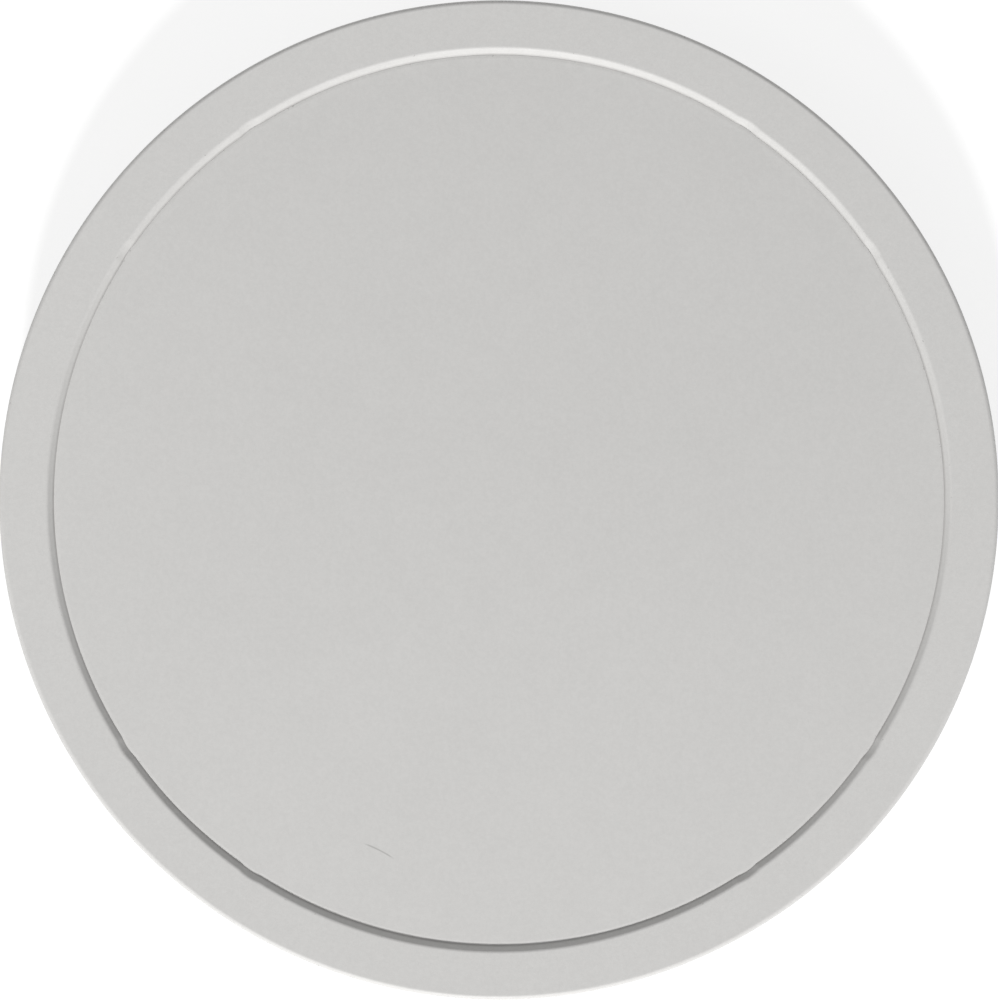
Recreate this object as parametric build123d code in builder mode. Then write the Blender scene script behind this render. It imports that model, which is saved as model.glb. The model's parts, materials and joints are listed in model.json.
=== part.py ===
"""Round steel manhole cover: a welded frame with a pressed rim, and a plain lid that lifts out.

Millimetres, +Z up, origin at the centre of the frame's underside. The lid's edge is a cone that
drops into a conical shoulder in the rim, 5 mm below the rim's top, and rests on a twin-lip seal.
Eight small lugs on the lid sit in joggles of the shoulder and stop the lid turning.
"""

import os
from math import cos, degrees, radians, sin, sqrt, tan

from build123d import *

# ---------------------------------------------------------------- driving dimensions
OPENING_R = 300.0  # clear opening, at the seat ring's bore
LID_R = 321.15  # where the lid's conical edge would meet its top face
RIM_R = 360.0  # outside of the pressed rim
FRAME_H = 75.0  # underside of the base ring to the top of the rim
LID_DROP = 5.0  # lid's top face below the rim's outer edge
RIM_DISH = 0.95  # the rim's top falls this much from its outer edge to the shoulder, to drain inward
LID_PLATE_T = 6.0
CONE_SLOPE = 45.0  # degrees from level, of the lid's edge and of the shoulder
CONE_GAP = 0.1  # level gap between the two cones
LUG_DEPTH = 0.9  # lugs stand this far out of the lid's edge
LUG_R = 37.0  # round nose of a lug, seen from above
LUG_SPREAD = 11.3  # degrees either side of a diagonal
DIAGONALS = [45.0 + 90.0 * i for i in range(4)]
LUG_ANGLES = [d + side * LUG_SPREAD for d in DIAGONALS for side in (-1, 1)]

# ---------------------------------------------------------------- heights and cones that follow
LID_TOP = FRAME_H - LID_DROP
LID_UNDER = LID_TOP - LID_PLATE_T
SEAL_H = 6.0  # seat to the underside of the lid
SEAT_TOP = LID_UNDER - SEAL_H
LID_FOOT_R = LID_R - LID_PLATE_T / tan(radians(CONE_SLOPE))
WALL_R = LID_FOOT_R + CONE_GAP  # shoulder's upright foot
SHOULDER_R = LID_R + CONE_GAP + (LID_DROP - RIM_DISH) / tan(radians(CONE_SLOPE))
LUG_AXIS_R = LID_R - LUG_R + LUG_DEPTH  # upright axis of a lug's nose
TO_LUG = LUG_R - LID_R  # from a radius about the lid's axis to one about a lug's axis

# ---------------------------------------------------------------- frame
SHEET_T = 3.0  # pressed rim
LIP_H = 30.0  # turned-down outer lip
EDGE_BEND_R = 3.3
FOOT_BEND_R = 3.5
CREST_R = 3.6  # rounding at the top of the shoulder
CREST_EASE = 3.0  # degrees left between the rounding and the rim's top where they meet
CREST_DROP = 0.08  # keeps the end of the rounding at the rim's top
INNER_BEND_R = 0.8
LIP_IN_R = RIM_R - SHEET_T
LIP_BOTTOM = FRAME_H - LIP_H
JOGGLE_OUT_R = SHOULDER_R + 8.0

SEAT_T = 8.0
SEAT_R = 322.0
SEAT_UNDER = SEAT_TOP - SEAT_T
COLLAR_IN_R = 314.0
COLLAR_R = 320.0
BASE_T = 8.0
BASE_IN_R = 306.0
BASE_R = 352.0
BOLT_CIRCLE_R = 336.0
ANCHOR_HOLE_R = 7.0  # M12 anchors
ANCHOR_COUNT = 6
WEB_T = 6.0
WEB_COUNT = 12
WEB_FIRST = 15.0  # degrees, so that the webs stand between the bolts
WEB_SNIPE = 5.0  # corner cut clear of the bends and the weld at the foot

CHANNEL_IN_R = 301.5
CHANNEL_R = 314.5
CHANNEL_T = 1.2
CHANNEL_H = 4.0
SEAL_LIP_W = 2.0
SEAL_VALLEY = 1.8

# ---------------------------------------------------------------- levelling screws (M12)
SCREW_ANGLES = [30.0, 150.0, 270.0]
THREAD_R = 6.0
THREAD_ROOT_R = 5.1
THREAD_PITCH = 1.75
THREAD_COUNT = 21
SCREW_TIP_Z = 0.8
SCREW_HEAD_H = 7.5
SCREW_HEAD_FLATS = 18.0
NUT_FLATS = 19.0
NUT_H = 10.0
NUT_BORE_R = 6.06
SCREW_HOLE_R = 6.5

# ---------------------------------------------------------------- lid
LID_EDGE_R = 0.1
LID_FOOT_ROUND = 0.8
EASE_W = 2.4  # the top face falls slightly over this width, inside its edge
EASE_DROP = 0.23
BAND_R = 294.0
BAND_T = 6.0
BAND_IN_R = BAND_R - BAND_T
BAND_BOTTOM = 27.0
HUB_R = 56.0
HUB_T = 6.0
HUB_BOTTOM = 25.0
RIB_COUNT = 8
RIB_FIRST = 22.5
RIB_T = 6.0
RIB_END_BOTTOM = 33.0
RIB_SNIPE = 8.0

# ---------------------------------------------------------------- guide blocks and their M5 screws
GUIDE_R = 299.0
GUIDE_WIDTH = 46.0
GUIDE_BOTTOM = 30.0
GUIDE_TOP = 60.0
GUIDE_LEAD = (3.5, 10.0)  # radial and upright size of the lead-in
GUIDE_SCREW_REACH = 13.0  # sideways from the block's middle
GUIDE_SCREW_Z = 49.0
M5_R = 2.5
M5_HEAD_R = 4.6
M5_HEAD_H = 2.4
M5_CLEARANCE = 0.2
M5_NUT_FLATS = 8.0
M5_NUT_T = 4.0


def save(piece, name):
    """Labels a finished piece and writes it as its own STEP file."""
    piece.part.label = name
    export_step(piece.part, f"parts/{name}.step")


def ring(inner_r, outer_r, bottom, top):
    """A plain flat or rolled ring round the Z axis."""
    with BuildPart() as body:
        with BuildSketch(Plane.XY.offset(bottom)):
            Circle(outer_r)
            Circle(inner_r, mode=Mode.SUBTRACT)
        extrude(amount=top - bottom)
    return body


def turned(points):
    """A ring turned from a closed outline of (radius, height) points."""
    with BuildPart() as body:
        with BuildSketch(Plane.XZ):
            with BuildLine():
                Polyline(*points, close=True)
            make_face()
        revolve(axis=Axis.Z)
    return body


def standing_plate(outline, thickness, angle, inner_r, outer_r, bottom, top):
    """An upright radial plate whose two ends follow the round walls at inner_r and outer_r."""
    middle = Plane.XZ.rotated((0, 0, angle))
    with BuildPart() as plate:
        with BuildSketch(middle):
            with BuildLine():
                Polyline(*outline, close=True)
            make_face()
        extrude(amount=thickness / 2, both=True)
        with BuildSketch(Plane.XY.offset(bottom)):
            Circle(outer_r)
            Circle(inner_r, mode=Mode.SUBTRACT)
        extrude(amount=top - bottom, mode=Mode.INTERSECT)
    return plate


def outward_plane(angle, radius, height):
    """A sketch plane on the wall at that angle, facing away from the Z axis, its x level."""
    turn = radians(angle)
    out = Vector(cos(turn), sin(turn), 0)
    return Plane(origin=out * radius + Vector(0, 0, height), x_dir=(-sin(turn), cos(turn), 0), z_dir=out)


def rim_top(radius):
    """Height of the rim's top face at a radius."""
    return FRAME_H - RIM_DISH * (RIM_R - radius) / (RIM_R - SHOULDER_R)


def rim_under(radius):
    """Height of the rim sheet's underside at a radius, a hair lower for the weld."""
    return rim_top(radius) - SHEET_T - 0.02


def lug_places():
    """The lugs' upright axes, each turned so that its x points outward."""
    turns = [radians(angle) for angle in LUG_ANGLES]
    return [Location((LUG_AXIS_R * cos(t), LUG_AXIS_R * sin(t), 0), (0, 0, degrees(t))) for t in turns]


# ================================================================ frame
def inside_face(shift):
    """Everything inside the rim's visible face, its radii changed by shift."""
    crest = (SHOULDER_R + shift, rim_top(SHOULDER_R) - CREST_DROP)
    beyond = (crest[0] + 12, crest[1] + 12 * tan(radians(CREST_EASE)))
    foot = (WALL_R + shift, SEAT_TOP - 1)
    with BuildPart() as body:
        with BuildSketch(Plane.XZ):
            with BuildLine():
                FilletPolyline(
                    foot,
                    (WALL_R + shift, LID_UNDER),
                    crest,
                    beyond,
                    radius=[FOOT_BEND_R, CREST_R],
                )
                Polyline(beyond, (beyond[0], FRAME_H + 3), (0, FRAME_H + 3), (0, SEAT_TOP - 1), foot)
            make_face()
        revolve(axis=Axis.Z)
    return body.part


def under_corners(shift):
    """The sheet's far side beside the shoulder: foot, knee and the corner below the crest."""
    half_turn = radians(90 - CONE_SLOPE) / 2
    return [
        (WALL_R + SHEET_T + shift, SEAT_TOP),
        (WALL_R + SHEET_T + shift, LID_UNDER - SHEET_T * tan(half_turn)),
        (SHOULDER_R + SHEET_T * tan(radians(CONE_SLOPE) / 2) + shift, rim_top(SHOULDER_R) - SHEET_T),
    ]


def rim_block():
    """The rim's sheet together with everything inside it."""
    corners = under_corners(0)
    inner_r = WALL_R - 20
    with BuildPart() as body:
        with BuildSketch(Plane.XZ):
            with BuildLine():
                FilletPolyline(
                    *corners,
                    (LIP_IN_R, FRAME_H - SHEET_T),
                    (LIP_IN_R, LIP_BOTTOM),
                    radius=[INNER_BEND_R, INNER_BEND_R, EDGE_BEND_R - SHEET_T],
                )
                Line((LIP_IN_R, LIP_BOTTOM), (RIM_R, LIP_BOTTOM))
                FilletPolyline(
                    (RIM_R, LIP_BOTTOM),
                    (RIM_R, FRAME_H),
                    (inner_r, rim_top(inner_r)),
                    radius=EDGE_BEND_R,
                )
                Polyline((inner_r, rim_top(inner_r)), (inner_r, SEAT_TOP), corners[0])
            make_face()
        revolve(axis=Axis.Z)
    return body.part


def joggle_block():
    """The sheet's bulge behind one lug, with everything inside it, about the lug's own axis."""
    foot, knee, below_crest = under_corners(TO_LUG)
    top = below_crest[1] + SHEET_T / 2
    with BuildPart() as body:
        with BuildSketch(Plane.XZ):
            with BuildLine():
                FilletPolyline(foot, knee, below_crest, radius=INNER_BEND_R)
                Polyline(below_crest, (below_crest[0], top), (0, top), (0, SEAT_TOP), foot)
            make_face()
        revolve(axis=Axis.Z)
    return body.part


def frame_rim():
    """Rim pressed from one sheet: lip, flat top and conical shoulder, with joggles for the lid's lugs."""
    bulge = joggle_block()
    hollow = inside_face(TO_LUG)
    with BuildPart() as rim:
        add(rim_block())
        with Locations(*lug_places()):
            add(bulge)
        add(inside_face(0), mode=Mode.SUBTRACT)
        with Locations(*lug_places()):
            add(hollow, mode=Mode.SUBTRACT)
    return rim


def seat_ring():
    """Flat ring that carries the lid, its bore eased for the guide blocks."""
    with BuildPart() as seat:
        with BuildSketch(Plane.XY.offset(SEAT_UNDER)):
            Circle(SEAT_R)
            Circle(OPENING_R, mode=Mode.SUBTRACT)
        extrude(amount=SEAT_T)
        bore_top = seat.edges().filter_by(GeomType.CIRCLE).group_by(Axis.Z)[-1].sort_by(SortBy.RADIUS)[0]
        chamfer(bore_top, length=1)
    return seat


def base_ring():
    """Bottom flange, drilled for the anchors and for the levelling screws."""
    with BuildPart() as base:
        with BuildSketch():
            Circle(BASE_R)
            Circle(BASE_IN_R, mode=Mode.SUBTRACT)
            with PolarLocations(BOLT_CIRCLE_R, ANCHOR_COUNT):
                Circle(ANCHOR_HOLE_R, mode=Mode.SUBTRACT)
            with PolarLocations(BOLT_CIRCLE_R, len(SCREW_ANGLES), start_angle=SCREW_ANGLES[0]):
                Circle(SCREW_HOLE_R, mode=Mode.SUBTRACT)
        extrude(amount=BASE_T)
    return base


def frame_web(angle):
    """Gusset between base ring, collar, seat and rim, stepped round the seat ring's edge."""
    outline = [
        (COLLAR_R - 1, BASE_T + WEB_SNIPE),
        (COLLAR_R + WEB_SNIPE, BASE_T),
        (BASE_R - 4, BASE_T),
        (BASE_R - 2, LIP_BOTTOM),
        (LIP_IN_R + 1, LIP_BOTTOM + 7),
        (LIP_IN_R + 1, rim_under(LIP_IN_R) - WEB_SNIPE - 1),
        (LIP_IN_R - WEB_SNIPE, rim_under(LIP_IN_R - WEB_SNIPE)),
        (JOGGLE_OUT_R, rim_under(JOGGLE_OUT_R)),
        (SEAT_R, SEAT_TOP),
        (SEAT_R, SEAT_UNDER),
        (COLLAR_R - 1, SEAT_UNDER),
    ]
    return standing_plate(outline, WEB_T, angle, COLLAR_R, LIP_IN_R, BASE_T, FRAME_H)


def gasket_channel():
    """Folded U-channel, spot-welded to the seat, that holds the seal."""
    floor = SEAT_TOP + CHANNEL_T
    top = SEAT_TOP + CHANNEL_H
    return turned(
        [
            (CHANNEL_IN_R, SEAT_TOP),
            (CHANNEL_R, SEAT_TOP),
            (CHANNEL_R, top),
            (CHANNEL_R - CHANNEL_T, top),
            (CHANNEL_R - CHANNEL_T, floor),
            (CHANNEL_IN_R + CHANNEL_T, floor),
            (CHANNEL_IN_R + CHANNEL_T, top),
            (CHANNEL_IN_R, top),
        ]
    )


def seat_gasket():
    """Rubber seal with two lips that meet the underside of the lid."""
    inner = CHANNEL_IN_R + CHANNEL_T
    outer = CHANNEL_R - CHANNEL_T
    floor = SEAT_TOP + CHANNEL_T
    shoulder = SEAT_TOP + CHANNEL_H
    middle = (inner + outer) / 2
    return turned(
        [
            (inner, floor),
            (outer, floor),
            (outer, shoulder),
            (outer - 1.5, LID_UNDER),
            (outer - 1.5 - SEAL_LIP_W, LID_UNDER),
            (middle + 1, LID_UNDER - SEAL_VALLEY),
            (middle - 1, LID_UNDER - SEAL_VALLEY),
            (inner + 1.5 + SEAL_LIP_W, LID_UNDER),
            (inner + 1.5, LID_UNDER),
            (inner, shoulder),
        ]
    )


# ================================================================ levelling screws
def levelling_nut(angle):
    """Weld nut on the base ring."""
    with BuildPart() as nut:
        with BuildSketch(Plane.XY.offset(BASE_T)):
            with PolarLocations(BOLT_CIRCLE_R, 1, start_angle=angle):
                RegularPolygon(NUT_FLATS / 2, 6, major_radius=False)
                Circle(NUT_BORE_R, mode=Mode.SUBTRACT)
        extrude(amount=NUT_H)
    return nut


def levelling_screw(angle):
    """Hexagon-headed screw, head up, with its thread cut as plain rings."""
    turn = radians(angle)
    out = Vector(cos(turn), sin(turn), 0)
    foot = Plane(origin=out * BOLT_CIRCLE_R, x_dir=out)
    side = Plane(origin=foot.origin, x_dir=out, z_dir=(sin(turn), -cos(turn), 0))
    head_z = SCREW_TIP_Z + THREAD_COUNT * THREAD_PITCH
    corner_r = SCREW_HEAD_FLATS / 2 / cos(radians(30))
    outline = [(0, SCREW_TIP_Z), (THREAD_ROOT_R, SCREW_TIP_Z)]
    for i in range(THREAD_COUNT):
        start = SCREW_TIP_Z + i * THREAD_PITCH
        outline += [(THREAD_R, start + 0.4 * THREAD_PITCH), (THREAD_R, start + 0.6 * THREAD_PITCH)]
        outline += [(THREAD_ROOT_R, start + THREAD_PITCH)]
    outline += [(0, head_z)]
    with BuildPart() as head:
        with BuildSketch(foot.offset(head_z)):
            RegularPolygon(SCREW_HEAD_FLATS / 2, 6, major_radius=False)
        extrude(amount=SCREW_HEAD_H)
        with BuildSketch(side):
            with BuildLine():
                Polyline(
                    (0, head_z),
                    (corner_r, head_z),
                    (corner_r, head_z + SCREW_HEAD_H - 1),
                    (corner_r - 2, head_z + SCREW_HEAD_H),
                    (0, head_z + SCREW_HEAD_H),
                    close=True,
                )
            make_face()
        revolve(axis=Axis(foot.origin, (0, 0, 1)), mode=Mode.INTERSECT)
    with BuildPart() as screw:
        with BuildSketch(side):
            with BuildLine():
                Polyline(*outline, close=True)
            make_face()
        revolve(axis=Axis(foot.origin, (0, 0, 1)))
        add(head.part)
    return screw


# ================================================================ lid
def lid_disc(shift):
    """Disc with the lid's conical edge and eased rim, its radii changed by shift."""
    edge_r = LID_R - EASE_DROP / tan(radians(CONE_SLOPE)) + shift
    with BuildPart() as disc:
        with BuildSketch(Plane.XZ):
            with BuildLine():
                FilletPolyline(
                    (0, LID_UNDER),
                    (LID_FOOT_R + shift, LID_UNDER),
                    (edge_r, LID_TOP - EASE_DROP),
                    (LID_R - EASE_W + shift, LID_TOP),
                    radius=[LID_FOOT_ROUND, LID_EDGE_R],
                )
                Polyline((LID_R - EASE_W + shift, LID_TOP), (0, LID_TOP), (0, LID_UNDER))
            make_face()
        revolve(axis=Axis.Z)
    return disc.part


def lid_plate():
    """Plain top plate with a conical edge, eased at the top, and eight small round-nosed lugs."""
    nose = lid_disc(TO_LUG)
    with BuildPart() as plate:
        add(lid_disc(0))
        with Locations(*lug_places()):
            add(nose)
    return plate


def lid_edge_band():
    """Rolled band under the plate, drilled for the guide blocks."""
    with BuildPart() as band:
        with BuildSketch(Plane.XY.offset(BAND_BOTTOM)):
            Circle(BAND_R)
            Circle(BAND_IN_R, mode=Mode.SUBTRACT)
        extrude(amount=LID_UNDER - BAND_BOTTOM)
        for angle in DIAGONALS:
            with BuildSketch(outward_plane(angle, BAND_IN_R - 5, GUIDE_SCREW_Z)):
                with Locations((-GUIDE_SCREW_REACH, 0), (GUIDE_SCREW_REACH, 0)):
                    Circle(M5_R + M5_CLEARANCE)
            extrude(amount=BAND_T + 10, mode=Mode.SUBTRACT)
    return band


def lid_rib(angle):
    """Radial rib, deepest at the hub, its corners snipped clear of the welds."""
    outline = [
        (HUB_R - 1, HUB_BOTTOM),
        (BAND_IN_R + 1, RIB_END_BOTTOM),
        (BAND_IN_R + 1, LID_UNDER - RIB_SNIPE),
        (BAND_IN_R - RIB_SNIPE, LID_UNDER),
        (HUB_R + RIB_SNIPE, LID_UNDER),
        (HUB_R - 1, LID_UNDER - RIB_SNIPE),
    ]
    return standing_plate(outline, RIB_T, angle, HUB_R, BAND_IN_R, HUB_BOTTOM, LID_UNDER)


def guide_block(angle):
    """Plastic block on the edge band that centres the lid in the seat ring's bore."""
    lead_in, lead_up = GUIDE_LEAD
    face = outward_plane(angle, BAND_R - 1, 0)
    with BuildPart() as block:
        with BuildSketch(face):
            with Locations((0, (GUIDE_BOTTOM + GUIDE_TOP) / 2)):
                RectangleRounded(GUIDE_WIDTH, GUIDE_TOP - GUIDE_BOTTOM, 4)
        extrude(amount=GUIDE_R - BAND_R + 2)
        with BuildSketch(Plane.XZ):
            with BuildLine():
                Polyline(
                    (BAND_R, GUIDE_BOTTOM),
                    (GUIDE_R - lead_in, GUIDE_BOTTOM),
                    (GUIDE_R, GUIDE_BOTTOM + lead_up),
                    (GUIDE_R, GUIDE_TOP - 1),
                    (GUIDE_R - 1, GUIDE_TOP),
                    (BAND_R, GUIDE_TOP),
                    close=True,
                )
            make_face()
        revolve(axis=Axis.Z, mode=Mode.INTERSECT)
        with Locations(outward_plane(angle, GUIDE_R, GUIDE_SCREW_Z)):
            with Locations((-GUIDE_SCREW_REACH, 0), (GUIDE_SCREW_REACH, 0)):
                CounterSinkHole(M5_R + M5_CLEARANCE, M5_HEAD_R + M5_CLEARANCE)
    return block


def guide_screws():
    """Countersunk M5 screws through the guide blocks, heads below the plastic's face."""
    head_face = GUIDE_R - 0.6
    tip = BAND_IN_R - M5_NUT_T - 2
    with BuildPart() as screws:
        for angle in DIAGONALS:
            for reach in (-GUIDE_SCREW_REACH, GUIDE_SCREW_REACH):
                wall = outward_plane(angle, 0, GUIDE_SCREW_Z)
                start = wall.from_local_coords(Vector(reach, 0, tip))
                along = Plane(origin=start, x_dir=(0, 0, 1), z_dir=wall.x_dir)
                length = head_face - tip
                with BuildSketch(along):
                    with BuildLine():
                        Polyline(
                            (0, 0),
                            (0, -length),
                            (M5_HEAD_R, -length),
                            (M5_R, M5_HEAD_H - length),
                            (M5_R, -0.6),
                            (M5_R - 0.6, 0),
                            close=True,
                        )
                    make_face()
                revolve(axis=Axis(start, wall.z_dir))
    return screws


def guide_nuts():
    """Plain M5 nuts on the inside of the edge band."""
    far_corner = GUIDE_SCREW_REACH + M5_NUT_FLATS / 2 / cos(radians(30))
    face_r = sqrt(BAND_IN_R**2 - far_corner**2)
    with BuildPart() as nuts:
        for angle in DIAGONALS:
            with BuildSketch(outward_plane(angle, face_r - M5_NUT_T, GUIDE_SCREW_Z)):
                with Locations((-GUIDE_SCREW_REACH, 0), (GUIDE_SCREW_REACH, 0)):
                    RegularPolygon(M5_NUT_FLATS / 2, 6, major_radius=False)
                    Circle(M5_R + 0.05, mode=Mode.SUBTRACT)
            extrude(amount=M5_NUT_T)
    return nuts


def main():
    os.makedirs("parts", exist_ok=True)
    save(frame_rim(), "frame_rim")
    save(seat_ring(), "seat_ring")
    save(ring(COLLAR_IN_R, COLLAR_R, BASE_T, SEAT_UNDER), "frame_collar")
    save(base_ring(), "base_ring")
    for i in range(WEB_COUNT):
        save(frame_web(WEB_FIRST + i * 360 / WEB_COUNT), f"frame_web_{i + 1:02d}")
    save(gasket_channel(), "gasket_channel")
    save(seat_gasket(), "seat_gasket")
    for i, angle in enumerate(SCREW_ANGLES):
        save(levelling_nut(angle), f"levelling_nut_{i + 1}")
        save(levelling_screw(angle), f"levelling_screw_{i + 1}")
    save(lid_plate(), "lid_plate")
    save(lid_edge_band(), "lid_edge_band")
    save(ring(HUB_R - HUB_T, HUB_R, HUB_BOTTOM, LID_UNDER), "lid_hub_ring")
    for i in range(RIB_COUNT):
        save(lid_rib(RIB_FIRST + i * 360 / RIB_COUNT), f"lid_rib_{i + 1}")
    for i, angle in enumerate(DIAGONALS):
        save(guide_block(angle), f"guide_block_{i + 1}")
    save(guide_screws(), "guide_screws")
    save(guide_nuts(), "guide_nuts")


main()
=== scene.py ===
"""Looks of the round manhole cover: powder-coated steel, weld beads, rubber seal, studio and camera.

Metres, in the CAD's frame. Sizes come from the CAD nodes' boxes; those that only Blender adds are
named below in millimetres.
"""

import json
from math import ceil, cos, pi, radians, sin, sqrt, tan

import bmesh
import bpy
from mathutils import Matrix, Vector, noise


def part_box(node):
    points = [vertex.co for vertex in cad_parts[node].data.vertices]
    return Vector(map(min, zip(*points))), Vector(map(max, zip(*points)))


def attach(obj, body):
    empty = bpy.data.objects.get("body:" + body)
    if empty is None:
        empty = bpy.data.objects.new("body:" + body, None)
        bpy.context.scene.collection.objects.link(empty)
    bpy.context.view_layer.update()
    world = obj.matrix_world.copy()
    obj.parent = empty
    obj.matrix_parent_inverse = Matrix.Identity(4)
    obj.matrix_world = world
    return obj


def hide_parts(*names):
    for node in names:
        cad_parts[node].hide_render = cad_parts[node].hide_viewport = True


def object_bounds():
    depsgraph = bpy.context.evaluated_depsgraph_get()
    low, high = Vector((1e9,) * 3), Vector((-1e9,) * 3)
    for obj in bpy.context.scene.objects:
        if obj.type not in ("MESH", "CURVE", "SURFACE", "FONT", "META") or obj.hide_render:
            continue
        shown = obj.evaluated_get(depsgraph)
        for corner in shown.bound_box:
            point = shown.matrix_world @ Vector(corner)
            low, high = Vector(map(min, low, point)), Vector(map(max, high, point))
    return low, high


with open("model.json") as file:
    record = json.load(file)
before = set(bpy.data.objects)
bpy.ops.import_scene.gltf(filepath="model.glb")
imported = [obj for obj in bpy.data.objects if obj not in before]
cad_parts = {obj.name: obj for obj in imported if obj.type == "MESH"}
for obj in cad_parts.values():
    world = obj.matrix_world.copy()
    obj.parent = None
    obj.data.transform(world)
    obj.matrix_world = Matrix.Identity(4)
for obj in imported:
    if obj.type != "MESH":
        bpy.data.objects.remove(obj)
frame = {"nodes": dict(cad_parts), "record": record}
cad_low, cad_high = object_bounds()

MM = 0.001

# ---------------------------------------------------------------- sizes read from the CAD
nodes = frame["nodes"]
rim_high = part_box("frame_rim")[1]
lid_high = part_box("lid_plate")[1]
RIM_R = rim_high.x
RIM_TOP = rim_high.z
LIP_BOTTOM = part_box("frame_rim")[0].z
LID_TOP = lid_high.z
LID_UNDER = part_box("lid_plate")[0].z
BASE_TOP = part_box("base_ring")[1].z
SEAT_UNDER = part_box("seat_ring")[0].z
COLLAR_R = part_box("frame_collar")[1].x
BAND_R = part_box("lid_edge_band")[1].x
HUB_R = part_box("lid_hub_ring")[1].x

# ---------------------------------------------------------------- sizes that the boxes don't give
LID_R = 321.15 * MM  # where the lid's cone would meet its top face
CONE_GAP = 0.1 * MM
LID_FOOT_R = LID_R - (LID_TOP - LID_UNDER)  # the cone falls at 45 degrees
WALL_R = LID_FOOT_R + CONE_GAP
FRAME_H = 75 * MM
RIM_DISH = 0.95 * MM
SHOULDER_R = LID_R + CONE_GAP + FRAME_H - RIM_DISH - LID_TOP
LUG_R = 37 * MM
LUG_DEPTH = 0.9 * MM
LUG_AXIS_R = LID_R - LUG_R + LUG_DEPTH
LUG_SPREAD = 11.3  # degrees, either side of each diagonal
LUG_ANGLES = [45 + 90 * i + side * LUG_SPREAD for i in range(4) for side in (-1, 1)]
EASE_W = 2.4 * MM  # the lid's top falls slightly over this width, inside its edge
EASE_DROP = 0.23 * MM
EASE_R = 8 * MM
LID_EDGE_R = 0.1 * MM
LID_FOOT_ROUND = 0.8 * MM
FOOT_BEND_R = 3.5 * MM
CREST_R = 3.6 * MM
EDGE_BEND_R = 3.3 * MM
LIP_EDGE_R = 0.3 * MM
LIP_BEND_R = 0.5 * MM
INNER_BEND_R = 0.8 * MM
SHEET_END_R = 0.1 * MM
HALF_BEND = radians(22.5)  # half of the 45 degrees that the sheet turns at foot and crest
BAND_T = 6 * MM
HUB_T = 6 * MM
RIB_T = 6 * MM
RIB_COUNT = sum(name.startswith("lid_rib_") for name in nodes)
RIB_FIRST = 22.5
RIB_SNIPE = 8 * MM
RIB_END_BOTTOM = 33 * MM
HUB_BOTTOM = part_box("lid_hub_ring")[0].z
WEB_T = 6 * MM
WEB_COUNT = sum(name.startswith("frame_web_") for name in nodes)
WEB_FIRST = 15.0
WEB_SNIPE = 5 * MM
SHEET_T = 3 * MM

# ---------------------------------------------------------------- turned sheet and plate
TURN_STEPS = 1440
SUPPORT = 0.12 * MM  # extra points this close to a rounding keep the shading of the flats even
BROAD = 1 * MM  # a rounding above this gets a point every 8 degrees, a smaller one only three


def arc_between(corner, before, after, radius):
    """Points of a rounding at a corner, with a support point on each side of it."""
    back = (before - corner).normalized()
    ahead = (after - corner).normalized()
    half = back.angle(ahead) / 2
    reach = radius / tan(half)
    centre = corner + (back + ahead).normalized() * radius / sin(half)
    start = corner + back * reach - centre
    end = corner + ahead * reach - centre
    sweep = pi - 2 * half
    steps = max(2, ceil(sweep / radians(8))) if radius > BROAD else 2
    points = [corner + back * (reach + SUPPORT)]
    for i in range(steps + 1):
        share = i / steps
        points.append(centre + (start * sin((1 - share) * sweep) + end * sin(share * sweep)) / sin(sweep))
    points.append(corner + ahead * (reach + SUPPORT))
    return points


def rounded(corners, closed):
    """Outline through (radius, height, rounding) corners."""
    spots = [Vector(corner[:2]) for corner in corners]
    last = len(spots) - 1
    points = []
    for i, (spot, corner) in enumerate(zip(spots, corners)):
        if not closed and i in (0, last):
            points.append(spot)
        else:
            points += arc_between(spot, spots[i - 1], spots[(i + 1) % len(spots)], corner[2])
    return points


def past_lugs(radius, angle):
    """Where a circle of that radius runs at that angle, pushed out round the nose of a lug."""
    turn = radians(min(abs((angle - lug + 180) % 360 - 180) for lug in LUG_ANGLES))
    nose = radius - LID_R + LUG_R
    aside = LUG_AXIS_R * sin(turn)
    if turn > 0.1 or aside >= nose:
        return radius
    return max(radius, LUG_AXIS_R * cos(turn) + sqrt(nose**2 - aside**2))


def turned_mesh(name, outline, closed, lug_limit):
    """The outline turned round the Z axis. Its points inside lug_limit follow the lugs."""
    shell = bmesh.new()
    rings = []
    for i in range(TURN_STEPS):
        angle = 360 * i / TURN_STEPS
        across = (cos(radians(angle)), sin(radians(angle)))
        ring = []
        for point in outline:
            radius = past_lugs(point.x, angle) if point.x < lug_limit else point.x
            ring.append(shell.verts.new((radius * across[0], radius * across[1], point.y)))
        rings.append(ring)
    spans = len(outline) if closed else len(outline) - 1
    for here, there in zip(rings, rings[1:] + rings[:1]):
        for k in range(spans):
            after = (k + 1) % len(outline)
            shell.faces.new((here[k], there[k], there[after], here[after]))
    if not closed:
        for k in (0, -1):
            middle = shell.verts.new((0, 0, outline[k].y))
            for here, there in zip(rings, rings[1:] + rings[:1]):
                shell.faces.new((middle, here[k], there[k]))
    bmesh.ops.recalc_face_normals(shell, faces=shell.faces)
    mesh = bpy.data.meshes.new(name)
    shell.to_mesh(mesh)
    shell.free()
    for polygon in mesh.polygons:
        polygon.use_smooth = True
    return mesh


def turned_piece(mesh, body, node, material):
    """A turned piece that stands for a CAD node."""
    piece = bpy.data.objects.new(mesh.name, mesh)
    bpy.context.scene.collection.objects.link(piece)
    mesh.materials.append(material)
    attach(piece, body)
    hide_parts(node)


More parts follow.
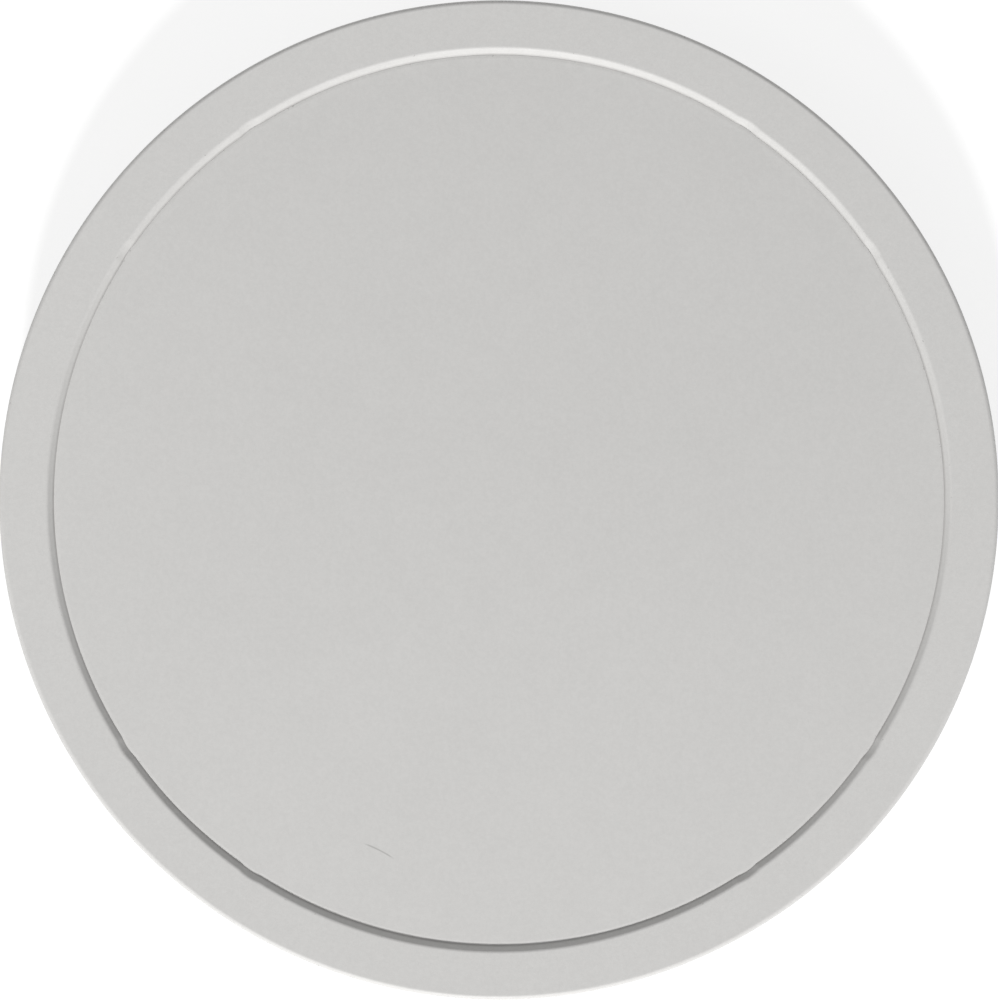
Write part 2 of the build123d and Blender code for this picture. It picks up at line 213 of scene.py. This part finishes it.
def rim_outline():
    """Section of the pressed rim: foot, cone, crest, dished top, outer edge, lip and the sheet's far side."""
    seat_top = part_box("seat_ring")[1].z
    crest_z = FRAME_H - RIM_DISH
    lip_in = RIM_R - SHEET_T
    return rounded(
        [
            (WALL_R, seat_top, SHEET_END_R),
            (WALL_R, LID_UNDER, FOOT_BEND_R),
            (SHOULDER_R, crest_z, CREST_R),
            (RIM_R, FRAME_H, EDGE_BEND_R),
            (RIM_R, LIP_BOTTOM, LIP_EDGE_R),
            (lip_in, LIP_BOTTOM, LIP_EDGE_R),
            (lip_in, FRAME_H - SHEET_T, LIP_BEND_R),
            (SHOULDER_R + SHEET_T * tan(HALF_BEND), crest_z - SHEET_T, INNER_BEND_R),
            (WALL_R + SHEET_T, LID_UNDER - SHEET_T * tan(HALF_BEND), INNER_BEND_R),
            (WALL_R + SHEET_T, seat_top, SHEET_END_R),
        ],
        closed=True,
    )


def lid_outline():
    """Section of the lid plate from the middle of its top, over its eased edge, to the middle underneath."""
    return rounded(
        [
            (HUB_R, LID_TOP, 0),
            (LID_R - EASE_W, LID_TOP, EASE_R),
            (LID_R - EASE_DROP, LID_TOP - EASE_DROP, LID_EDGE_R),
            (LID_FOOT_R, LID_UNDER, LID_FOOT_ROUND),
            (HUB_R, LID_UNDER, 0),
        ],
        closed=False,
    )


# ---------------------------------------------------------------- welds
RIPPLE = 2.4 * MM  # length of one ripple of a bead
STATION = RIPPLE / 4
TAPER = 2 * MM  # a bead thins towards its ends over this length
ROOT = 0.3 * MM  # its hidden corner sits this far inside the joined plates
FACE_POINTS = 5  # across a bead's open face
LID_LEG = 3.5 * MM
FRAME_LEG = 4 * MM
STITCH = 30 * MM
RIB_STITCHES = (14 * MM, 76 * MM, 138 * MM)  # where stitches start, out from the hub
LAST_STITCH = 44 * MM  # and the last one, in from the band
BAND_STITCHES = 16
HUB_STITCHES = 4
BAND_HALF, HUB_HALF, COLLAR_HALF = 3, 18, 11  # degrees, half of a round stitch
FOOT_STITCH = 20 * MM
LIP_STITCH = 12 * MM
LIP_STITCH_UP = 8 * MM  # from the lip's bottom edge


def fillet_bead(centre_line, leg):
    """Vertices and faces of one fillet weld. centre_line is a function and a length: the function gives, for
    0 to 1 along the weld, the corner point and the two directions away from it in the joined faces."""
    place, length = centre_line
    count = max(4, round(length / STATION))
    verts, faces = [], []
    for i in range(count + 1):
        along = i / count
        corner, first, second = place(along)
        in_ripple = (along * length / RIPPLE) % 1.0
        swell = 0.92 + 0.10 * in_ripple + 0.05 * noise.noise(corner * 400)
        close = min(along, 1 - along) * length
        if close < TAPER:
            swell *= 0.45 + 0.55 * sqrt(close / TAPER)
        reach = leg * swell
        verts.append(corner - (first + second) * ROOT)
        for k in range(FACE_POINTS):
            turn = pi / 2 * k / (FACE_POINTS - 1)
            bulge = 1 - 0.22 * sin(2 * turn)
            verts.append(corner + (first * cos(turn) + second * sin(turn)) * reach * bulge)
    ring = FACE_POINTS + 1
    for i in range(count):
        for k in range(ring):
            a, b = i * ring + k, i * ring + (k + 1) % ring
            faces.append((a, b, b + ring, a + ring))
    faces.append(tuple(reversed(range(ring))))
    faces.append(tuple(count * ring + k for k in range(ring)))
    return verts, faces


def straight(start, end, first, second):
    """A straight corner line for fillet_bead."""

    def place(t):
        return start.lerp(end, t), first, second

    return place, (end - start).length


def round_corner(radius, height, start, end, outward, upward):
    """A corner line round the Z axis from angle start to end, in degrees. outward and upward are +1 or -1."""

    def place(t):
        angle = radians(start + (end - start) * t)
        out = Vector((cos(angle), sin(angle), 0))
        return out * radius + Vector((0, 0, height)), out * outward, Vector((0, 0, upward))

    return place, radius * radians(abs(end - start))


def weld_piece(name, lines, body, leg, material):
    """One mesh of all the beads along those lines, riding on a body."""
    verts, faces = [], []
    for line in lines:
        more_verts, more_faces = fillet_bead(line, leg)
        base = len(verts)
        verts += more_verts
        faces += [tuple(base + v for v in face) for face in more_faces]
    mesh = bpy.data.meshes.new(name)
    mesh.from_pydata(verts, [], faces)
    mesh.update()
    for polygon in mesh.polygons:
        polygon.use_smooth = True
    piece = bpy.data.objects.new(name, mesh)
    bpy.context.scene.collection.objects.link(piece)
    mesh.materials.append(material)
    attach(piece, body)
    return piece


def plate_sides(angle, thickness):
    """For an upright radial plate: its outward direction, and each side's offset and sideways direction."""
    turn = radians(angle)
    out = Vector((cos(turn), sin(turn), 0))
    across = Vector((-sin(turn), cos(turn), 0))
    return out, [(across * side * thickness / 2, across * side) for side in (-1, 1)]


UP = Vector((0, 0, 1))


def lid_weld_lines():
    """Stitches under the lid: ribs to plate, hub and band, and the two rings to the plate."""
    lines = []
    band_in = BAND_R - BAND_T
    for i in range(RIB_COUNT):
        out, sides = plate_sides(RIB_FIRST + i * 360 / RIB_COUNT, RIB_T)
        for offset, away in sides:
            for start in [HUB_R + stitch for stitch in RIB_STITCHES] + [band_in - LAST_STITCH]:
                begin = out * start + offset + UP * LID_UNDER
                lines.append(straight(begin, begin + out * STITCH, away, -UP))
            hub_face = sqrt(HUB_R**2 - (RIB_T / 2) ** 2)
            low = out * hub_face + offset + UP * (HUB_BOTTOM + 2 * MM)
            rise = LID_UNDER - RIB_SNIPE - HUB_BOTTOM - 4 * MM
            lines.append(straight(low, low + UP * rise, away, out))
            band_face = sqrt(band_in**2 - (RIB_T / 2) ** 2)
            low = out * band_face + offset + UP * (RIB_END_BOTTOM + 1 * MM)
            rise = LID_UNDER - RIB_SNIPE - RIB_END_BOTTOM - 3 * MM
            lines.append(straight(low, low + UP * rise, away, -out))
    for i in range(BAND_STITCHES):
        middle = (i + 0.5) * 360 / BAND_STITCHES
        lines.append(round_corner(band_in, LID_UNDER, middle - BAND_HALF, middle + BAND_HALF, -1, -1))
        lines.append(round_corner(BAND_R, LID_UNDER, middle - BAND_HALF, middle + BAND_HALF, 1, -1))
    for i in range(HUB_STITCHES):
        middle = i * 360 / HUB_STITCHES
        lines.append(round_corner(HUB_R - HUB_T, LID_UNDER, middle - HUB_HALF, middle + HUB_HALF, -1, -1))
    return lines


def frame_weld_lines():
    """Welds on the frame's outside: webs to collar, base and lip, and the collar to the base."""
    lines = []
    lip_in = RIM_R - SHEET_T
    for i in range(WEB_COUNT):
        out, sides = plate_sides(WEB_FIRST + i * 360 / WEB_COUNT, WEB_T)
        for offset, away in sides:
            collar_face = sqrt(COLLAR_R**2 - (WEB_T / 2) ** 2)
            low = out * collar_face + offset + UP * (BASE_TOP + WEB_SNIPE + 1 * MM)
            lines.append(straight(low, low + UP * (SEAT_UNDER - BASE_TOP - WEB_SNIPE - 4 * MM), away, out))
            foot = out * (COLLAR_R + WEB_SNIPE + 1 * MM) + offset + UP * BASE_TOP
            lines.append(straight(foot, foot + out * FOOT_STITCH, away, UP))
            lip_face = sqrt(lip_in**2 - (WEB_T / 2) ** 2)
            low = out * lip_face + offset + UP * (LIP_BOTTOM + LIP_STITCH_UP)
            lines.append(straight(low, low + UP * LIP_STITCH, away, -out))
        middle = WEB_FIRST + (i + 0.5) * 360 / WEB_COUNT
        lines.append(round_corner(COLLAR_R, BASE_TOP, middle - COLLAR_HALF, middle + COLLAR_HALF, 1, 1))
    return lines


# ---------------------------------------------------------------- materials
def new_material(name):
    """A new node material, its node tree and its principled shader."""
    material = bpy.data.materials.new(name)
    material.use_nodes = True
    tree = material.node_tree
    shader = tree.nodes["Principled BSDF"]
    return material, tree, shader


def add(tree, kind, settings=None, **inputs):
    """Adds a node, sets its properties and plugs or sets its inputs: i0, i1 by number, others by name."""
    node = tree.nodes.new(kind)
    for key, value in (settings or {}).items():
        setattr(node, key, value)
    for key, value in inputs.items():
        socket = node.inputs[int(key[1:]) if key.startswith("i") else key]
        if isinstance(value, bpy.types.NodeSocket):
            tree.links.new(value, socket)
        else:
            socket.default_value = value
    return node


def grain(tree, where, scale, detail=2.0):
    """Fine noise, 0 to 1."""
    noise_node = add(tree, "ShaderNodeTexNoise", Vector=where, Scale=scale, Detail=detail, Roughness=0.55)
    return noise_node.outputs[0]


def ramp(tree, value, low, high, out_low=0.0, out_high=1.0):
    """Linear map of a value between two limits, clamped."""
    return add(tree, "ShaderNodeMapRange", i0=value, i1=low, i2=high, i3=out_low, i4=out_high).outputs[0]


def arith(tree, operation, a, b=0.0):
    """A Math node's result."""
    return add(tree, "ShaderNodeMath", {"operation": operation}, i0=a, i1=b).outputs[0]


def blend_colours(tree, factor, a, b):
    """Mix of two colours by a factor."""
    node = add(tree, "ShaderNodeMix", {"data_type": "RGBA"})
    for socket, value in zip((node.inputs[0], node.inputs[6], node.inputs[7]), (factor, a, b)):
        if isinstance(value, bpy.types.NodeSocket):
            tree.links.new(value, socket)
        else:
            socket.default_value = value
    return node.outputs[2]


def grey(value, warmth=0.0):
    """A near-neutral colour, warm where warmth is above 0."""
    return (value * (1 + warmth), value, value * (1 - 1.9 * warmth), 1.0)


def product(tree, *factors):
    """Product of several values."""
    result = factors[0]
    for factor in factors[1:]:
        result = arith(tree, "MULTIPLY", result, factor)
    return result


def near_radius(tree, distance, radius, width):
    """1 on a circle round the Z axis, falling to 0 a width away from it."""
    away = arith(tree, "ABSOLUTE", arith(tree, "SUBTRACT", distance, radius))
    return ramp(tree, away, 0.0, width, 1.0, 0.0)


SCRATCH_BOW = 5.0  # a scratch bends off its line by this times the distance from its middle squared


def scratch_mask(tree, where, start, end, width):
    """1 along a fine scratch on the lid's top between two points, thin at its ends."""
    begin, run = Vector(start), Vector(end) - Vector(start)
    offset = add(tree, "ShaderNodeVectorMath", {"operation": "SUBTRACT"}, i0=where, i1=begin).outputs[0]
    ahead, aside = run.normalized(), run.normalized().cross(UP)
    dot = {"operation": "DOT_PRODUCT"}
    along = add(tree, "ShaderNodeVectorMath", dot, i0=offset, i1=ahead).outputs["Value"]
    off = add(tree, "ShaderNodeVectorMath", dot, i0=offset, i1=aside).outputs["Value"]
    middle = arith(tree, "SUBTRACT", along, run.length / 2)
    bow = product(tree, middle, middle, SCRATCH_BOW)
    across = ramp(tree, arith(tree, "ABSOLUTE", arith(tree, "SUBTRACT", off, bow)), 0.0, width, 1.0, 0.0)
    ends = ramp(tree, arith(tree, "ABSOLUTE", middle), run.length * 0.3, run.length * 0.5, 1.0, 0.0)
    height = add(tree, "ShaderNodeSeparateXYZ", Vector=where).outputs[2]
    on_top = arith(tree, "GREATER_THAN", height, LID_TOP - 0.1 * MM)
    return product(tree, across, ends, on_top)


def powder_coat(name, tone, rub_radii, seam_shade_radius, scratches):
    """Light grey powder coat on steel: fine grain, faint clouds, specks, painted shade with some dirt along
    the seam, grime low down, chips along the edges at rub_radii, and a few scratches."""
    material, tree, shader = new_material(name)
    where = add(tree, "ShaderNodeTexCoord").outputs["Object"]
    spread = add(tree, "ShaderNodeSeparateXYZ", Vector=where)
    flat = add(tree, "ShaderNodeCombineXYZ", X=spread.outputs[0], Y=spread.outputs[1]).outputs[0]
    distance = add(tree, "ShaderNodeVectorMath", {"operation": "LENGTH"}, i0=flat).outputs["Value"]
    clouds = add(tree, "ShaderNodeTexNoise", Vector=where, Scale=4.0, Detail=4.0, Roughness=0.5).outputs[0]
    patches = grain(tree, where, 34.0, 3.0)
    peel = grain(tree, where, 520.0, 2.0)
    dust = grain(tree, where, 1500.0, 1.0)

    shift = 0.5
    for value, reach in (
        (clouds, 0.009),
        (patches, 0.0045),
        (grain(tree, where, 95.0, 0.0), 0.002),
        (grain(tree, where, 190.0, 0.0), 0.0055),
        (grain(tree, where, 420.0, 1.0), 0.020),
        (dust, 0.030),
    ):
        shift = arith(tree, "ADD", shift, ramp(tree, value, 0.3, 0.7, -reach, reach))
    colour = blend_colours(tree, shift, grey(tone * 0.5, 0.011), grey(tone * 1.5, 0.011))

    specks = add(tree, "ShaderNodeTexVoronoi", Vector=where, Scale=26.0, Randomness=1.0)
    near = ramp(tree, specks.outputs["Distance"], 0.012, 0.022, 1.0, 0.0)
    chance = add(tree, "ShaderNodeSeparateColor", Color=specks.outputs["Color"])
    dark_ones = arith(tree, "GREATER_THAN", chance.outputs[0], 0.94)
    light_ones = arith(tree, "GREATER_THAN", chance.outputs[1], 0.97)
    colour = blend_colours(tree, product(tree, near, dark_ones, 0.5), colour, grey(0.16, 0.02))
    colour = blend_colours(tree, product(tree, near, light_ones, 0.35), colour, grey(0.78, 0.0))

    soil = ramp(tree, grain(tree, where, 46.0, 5.0), 0.42, 0.68)
    low = ramp(tree, spread.outputs[2], 0.0, 0.062, 1.0, 0.0)
    colour = blend_colours(tree, product(tree, soil, low, 0.30), colour, (0.20, 0.175, 0.145, 1))
    above = arith(tree, "GREATER_THAN", spread.outputs[2], LID_UNDER)
    # painted shade: the band along the seam between lid and frame is darkened where the crevice lies in
    # shade, and it also stands for dirt caught there
    seam = near_radius(tree, distance, seam_shade_radius, 1.1 * MM)
    seam_shade_and_dirt = product(tree, seam, above, ramp(tree, patches, 0.3, 0.7, 0.22, 0.36))
    colour = blend_colours(tree, seam_shade_and_dirt, colour, (0.12, 0.11, 0.10, 1))

    ragged = grain(tree, where, 380.0, 3.0)
    for radius in rub_radii:
        edge = near_radius(tree, distance, radius, 1.1 * MM)
        flaked = arith(tree, "GREATER_THAN", ragged, 0.66)
        chips = product(tree, edge, above, flaked, ramp(tree, patches, 0.50, 0.56))
        colour = blend_colours(tree, product(tree, chips, 0.5), colour, grey(0.20, 0.03))
    for start, end, width in scratches:
        scratch = product(tree, scratch_mask(tree, where, start, end, width), 0.5)
        colour = blend_colours(tree, scratch, colour, grey(0.17, 0.03))

    tree.links.new(colour, shader.inputs["Base Color"])
    broad = ramp(tree, patches, 0.3, 0.7, 0.50, 0.56)
    rough = arith(tree, "ADD", broad, ramp(tree, peel, 0.3, 0.7, -0.03, 0.03))
    tree.links.new(arith(tree, "ADD", rough, arith(tree, "MULTIPLY", soil, 0.06)), shader.inputs["Roughness"])
    shader.inputs["Specular IOR Level"].default_value = 0.45
    height = arith(tree, "ADD", peel, arith(tree, "MULTIPLY", dust, 0.3))
    bump = add(tree, "ShaderNodeBump", Height=height, Strength=1.0, Distance=0.018 * MM)
    tree.links.new(bump.outputs[0], shader.inputs["Normal"])
    return material


def rubber():
    """Black EPDM: matte, faintly dusty on its high spots."""
    material, tree, shader = new_material("seal_rubber_look")
    where = add(tree, "ShaderNodeTexCoord").outputs["Object"]
    bloom = grain(tree, where, 60.0, 4.0)
    skin = grain(tree, where, 900.0, 2.0)
    clean, dusty = (0.014, 0.014, 0.015, 1), (0.045, 0.044, 0.042, 1)
    colour = blend_colours(tree, ramp(tree, bloom, 0.45, 0.75), clean, dusty)
    tree.links.new(colour, shader.inputs["Base Color"])
    tree.links.new(ramp(tree, bloom, 0.3, 0.7, 0.58, 0.74), shader.inputs["Roughness"])
    bump = add(tree, "ShaderNodeBump", Height=skin, Strength=1.0, Distance=0.02 * MM)
    tree.links.new(bump.outputs[0], shader.inputs["Normal"])
    return material


def acetal():
    """Black guide-block plastic, milled: fine scuffs along its face."""
    material, tree, shader = new_material("guide_plastic_look")
    where = add(tree, "ShaderNodeTexCoord").outputs["Object"]
    stretched = add(tree, "ShaderNodeMapping", Vector=where, Scale=(1.0, 1.0, 14.0)).outputs[0]
    scuffs = grain(tree, stretched, 160.0, 3.0)
    plain, scuffed = (0.022, 0.022, 0.024, 1), (0.055, 0.055, 0.057, 1)
    colour = blend_colours(tree, ramp(tree, scuffs, 0.5, 0.75), plain, scuffed)
    tree.links.new(colour, shader.inputs["Base Color"])
    tree.links.new(ramp(tree, scuffs, 0.3, 0.7, 0.36, 0.52), shader.inputs["Roughness"])
    bump = add(tree, "ShaderNodeBump", Height=scuffs, Strength=1.0, Distance=0.015 * MM)
    tree.links.new(bump.outputs[0], shader.inputs["Normal"])
    return material


def plated_steel(name, colour_low, colour_high, brushed):
    """Bare or zinc-plated steel: metallic, with drawn lines or a mottled passivated skin."""
    material, tree, shader = new_material(name)
    where = add(tree, "ShaderNodeTexCoord").outputs["Object"]
    stretch = (1.0, 1.0, 22.0) if brushed else (1.0, 1.0, 1.0)
    stretched = add(tree, "ShaderNodeMapping", Vector=where, Scale=stretch).outputs[0]
    lines = grain(tree, stretched, 260.0, 3.0)
    stains = grain(tree, where, 90.0, 4.0)
    colour = blend_colours(tree, ramp(tree, stains, 0.35, 0.65), colour_low, colour_high)
    tree.links.new(colour, shader.inputs["Base Color"])
    shader.inputs["Metallic"].default_value = 1.0
    broad = ramp(tree, stains, 0.3, 0.7, 0.26, 0.38)
    rough = arith(tree, "ADD", broad, ramp(tree, lines, 0.3, 0.7, -0.05, 0.07))
    tree.links.new(rough, shader.inputs["Roughness"])
    bump = add(tree, "ShaderNodeBump", Height=lines, Strength=1.0, Distance=0.01 * MM)
    tree.links.new(bump.outputs[0], shader.inputs["Normal"])
    return material


def dress(slot_name, material):
    """Gives a material to every CAD node of a record slot."""
    for part in frame["record"]["subparts"]:
        if part["material_slot"] == slot_name:
            piece = nodes[part["node"]]
            piece.data.materials.clear()
            piece.data.materials.append(material)


LID_SCRATCHES = (((-0.0976, -0.2466, LID_TOP), (-0.0749, -0.2581, LID_TOP), 0.75 * MM),)
LID_TONE, FRAME_TONE = 0.582, 0.592
LID_RUBS = (LID_R - 0.8 * MM,)
FRAME_RUBS = (SHOULDER_R + 0.5 * MM, RIM_R - 1 * MM)
lid_look = powder_coat("lid_paint_look", LID_TONE, LID_RUBS, LID_R + 1 * MM, LID_SCRATCHES)
frame_look = powder_coat("frame_paint_look", FRAME_TONE, FRAME_RUBS, LID_R + CONE_GAP, ())
dress("lid_paint", lid_look)
dress("frame_paint", frame_look)
dress("seal_rubber", rubber())
dress("guide_plastic", acetal())
channel_look = plated_steel("stainless_channel_look", grey(0.50, 0.02), grey(0.60, 0.01), True)
dress("stainless_channel", channel_look)
fasteners_look = plated_steel("stainless_fasteners_look", grey(0.54, 0.02), grey(0.64, 0.01), True)
dress("stainless_fasteners", fasteners_look)
ZINC_BLUE, ZINC_PALE = (0.50, 0.52, 0.55, 1), (0.62, 0.62, 0.60, 1)
dress("zinc_plated_steel", plated_steel("zinc_look", ZINC_BLUE, ZINC_PALE, False))

rim_sheet = turned_mesh("rim_sheet", rim_outline(), True, SHOULDER_R + 2.5 * MM)
turned_piece(rim_sheet, "frame", "frame_rim", frame_look)
lid_sheet = turned_mesh("lid_sheet", lid_outline(), False, LID_R)
turned_piece(lid_sheet, "lid", "lid_plate", lid_look)

lid_welds = weld_piece("lid_welds", lid_weld_lines(), "lid", LID_LEG, lid_look)
frame_welds = weld_piece("frame_welds", frame_weld_lines(), "frame", FRAME_LEG, frame_look)


# ---------------------------------------------------------------- studio
LIGHT_AZIMUTH = 262.0  # degrees from +X: from the bottom of the plan view, a little to the left
LIGHT_ELEVATION = 35.0
LIGHT_DISTANCE = 12.0
LIGHT_SIZE = 1.3
KEY_SHARE = 0.565  # of the light that falls on a level face
FILL_SHARE = 0.06  # from a near lamp on the left
FILL_SIZE = 0.8
FILL_DISTANCE = 2.0
FILL_AZIMUTH = 180
FILL_ELEVATION = 60
FLOOR_GLOW = 0.8
FLOOR_TONE = 0.28
FLOOR_HALF = 14.0
LENS, SENSOR = 200.0, 36.0
VIEW_SHARE = 0.9997  # half the view's height, against the rim's radius


def disk_lamp(name, share, size, distance, azimuth, elevation):
    """A round lamp aimed at the lid's middle that gives a level face there its share of the light."""
    lamp = bpy.data.lights.new(name, "AREA")
    lamp.shape = "DISK"
    lamp.size = size
    lamp.energy = share * pi / sin(radians(elevation)) * pi * distance**2
    holder = bpy.data.objects.new(name, lamp)
    level = cos(radians(elevation))
    turn = radians(azimuth)
    towards = Vector((cos(turn) * level, sin(turn) * level, sin(radians(elevation))))
    holder.location = towards * distance + UP * LID_TOP
    holder.rotation_mode = "QUATERNION"
    holder.rotation_quaternion = towards.to_track_quat("Z", "Y")
    bpy.context.scene.collection.objects.link(holder)


def studio():
    """Pale floor, a low lamp at the front, a weak one on the left, even ambient light, plain sRGB view."""
    scene = bpy.context.scene
    scene.view_settings.view_transform = "Standard"
    scene.view_settings.look = "None"

    world = bpy.data.worlds.new("studio")
    scene.world = world
    world.use_nodes = True
    backdrop = world.node_tree.nodes["Background"]
    backdrop.inputs["Color"].default_value = (1, 1, 1, 1)
    backdrop.inputs["Strength"].default_value = 1 - KEY_SHARE - FILL_SHARE
    disk_lamp("key", KEY_SHARE, LIGHT_SIZE, LIGHT_DISTANCE, LIGHT_AZIMUTH, LIGHT_ELEVATION)
    disk_lamp("fill", FILL_SHARE, FILL_SIZE, FILL_DISTANCE, FILL_AZIMUTH, FILL_ELEVATION)

    material, _, shader = new_material("floor")
    shader.inputs["Base Color"].default_value = (FLOOR_TONE, FLOOR_TONE, FLOOR_TONE, 1)
    shader.inputs["Roughness"].default_value = 0.9
    shader.inputs["Specular IOR Level"].default_value = 0.1
    shader.inputs["Emission Color"].default_value = (1, 1, 1, 1)
    shader.inputs["Emission Strength"].default_value = FLOOR_GLOW
    half = FLOOR_HALF
    corners = [(-half, -half, 0), (half, -half, 0), (half, half, 0), (-half, half, 0)]
    mesh = bpy.data.meshes.new("floor")
    mesh.from_pydata(corners, [], [(0, 1, 2, 3)])
    floor = bpy.data.objects.new("floor", mesh)
    floor.location.z = cad_low.z - 0.1 * MM
    mesh.materials.append(material)
    scene.collection.objects.link(floor)


def plan_camera():
    """Long lens looking straight down, with the rim filling the 998 by 1000 frame."""
    data = bpy.data.cameras.new("camera")
    data.lens = LENS
    data.sensor_width = SENSOR
    data.clip_end = 60.0
    camera = bpy.data.objects.new("camera", data)
    half_view = RIM_R * VIEW_SHARE
    camera.location = (0, 0, RIM_TOP + half_view * LENS / (SENSOR / 2))
    bpy.context.scene.collection.objects.link(camera)
    bpy.context.scene.camera = camera


studio()
plan_camera()
